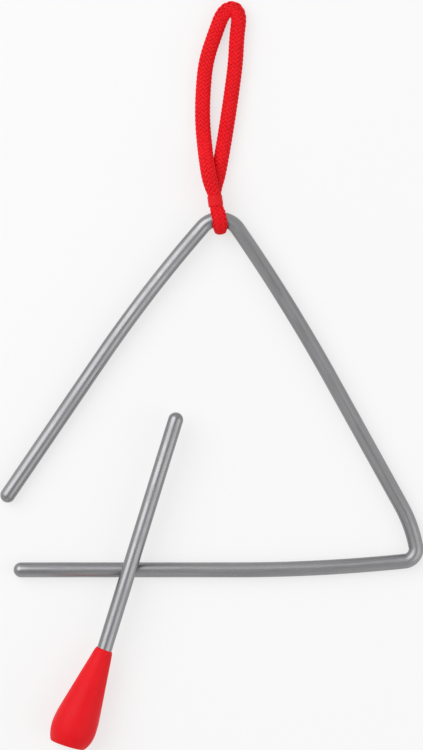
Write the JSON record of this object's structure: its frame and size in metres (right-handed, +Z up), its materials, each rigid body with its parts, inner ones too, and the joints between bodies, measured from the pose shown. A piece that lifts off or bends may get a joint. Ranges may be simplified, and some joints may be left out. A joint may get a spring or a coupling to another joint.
{
  "type": "triangle percussion instrument with beater",
  "caption": "Bent steel rod triangle with one open corner, a soft cord loop round its apex to hang it by, and a straight steel beater with a teardrop grip laid across its base.",
  "frame": {"origin": "on the table, under the middle of the box round the triangle and the beater", "axes": "+X right along the base bar, +Y from the base to the apex, +Z up off the table"},
  "size_m": [0.1829, 0.3229, 0.0195],
  "materials": {
    "triangle_steel": "satin plated",
    "beater_steel": "satin plated",
    "cord": "soft braided cord",
    "sleeve": "shrunk sleeve",
    "grip": "moulded, satin"
  },
  "bodies": {
    "triangle": {"triangle_rod": "triangle_steel"},
    "hanger": {"hanger_bight": "cord", "neck_sleeve": "sleeve", "hanger_loop": "cord"},
    "beater": {"beater_rod": "beater_steel", "beater_grip": "grip"}
  },
  "joints": [
    {"name": "hanger_swing", "type": "hinge", "parent": "triangle", "child": "hanger", "pos_m": [0.00324, 0.11276, 0.00632], "axis": [1, 0, 0], "range_deg": [0, 110]},
    {"name": "beater_lift", "type": "slide", "parent": "triangle", "child": "beater", "axis": [0, 0, 1], "range_m": [0, 0.1]}
  ]
}
